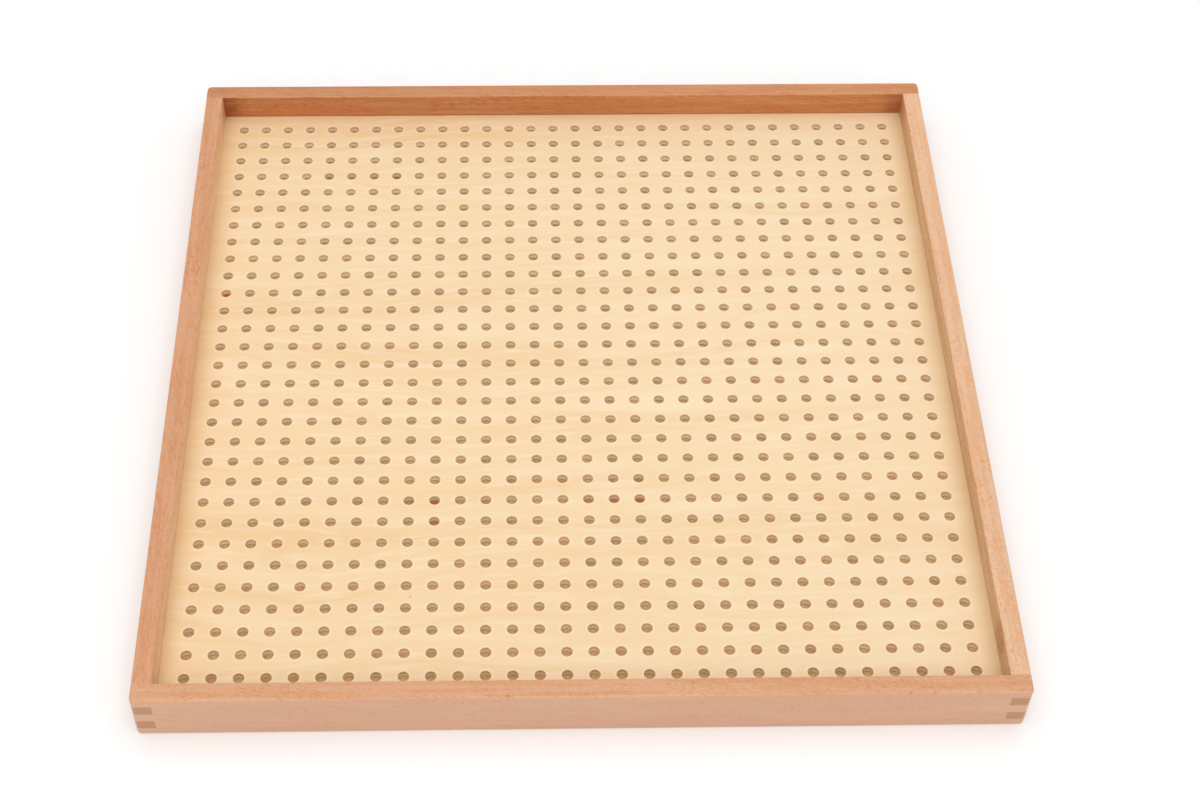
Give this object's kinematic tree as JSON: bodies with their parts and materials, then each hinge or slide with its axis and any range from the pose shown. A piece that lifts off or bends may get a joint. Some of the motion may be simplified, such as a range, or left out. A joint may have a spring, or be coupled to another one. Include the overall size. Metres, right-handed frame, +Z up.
{
  "type": "square root peg board",
  "caption": "Square tray-like board for working with pegs: a plywood panel with a square grid of blind peg holes, held in a finger-jointed beech frame that stands above it all round.",
  "frame": {"origin": "middle of the board's footprint, on the table", "axes": "+X right along the front rail, +Y from the front rail to the back rail, +Z up out of the tray"},
  "size_m": [0.517, 0.517, 0.036],
  "materials": {
    "beech": "clear satin lacquer over pinkish beech with short dark flecks",
    "plywood": "clear satin lacquer over pale cream plywood, grain from left to right",
    "backing": "unfinished orange-brown sheet"
  },
  "bodies": {
    "root": {"front_rail": "beech", "back_rail": "beech", "left_rail": "beech", "right_rail": "beech", "peg_panel": "plywood", "backing_sheet": "backing"}
  },
  "joints": []
}
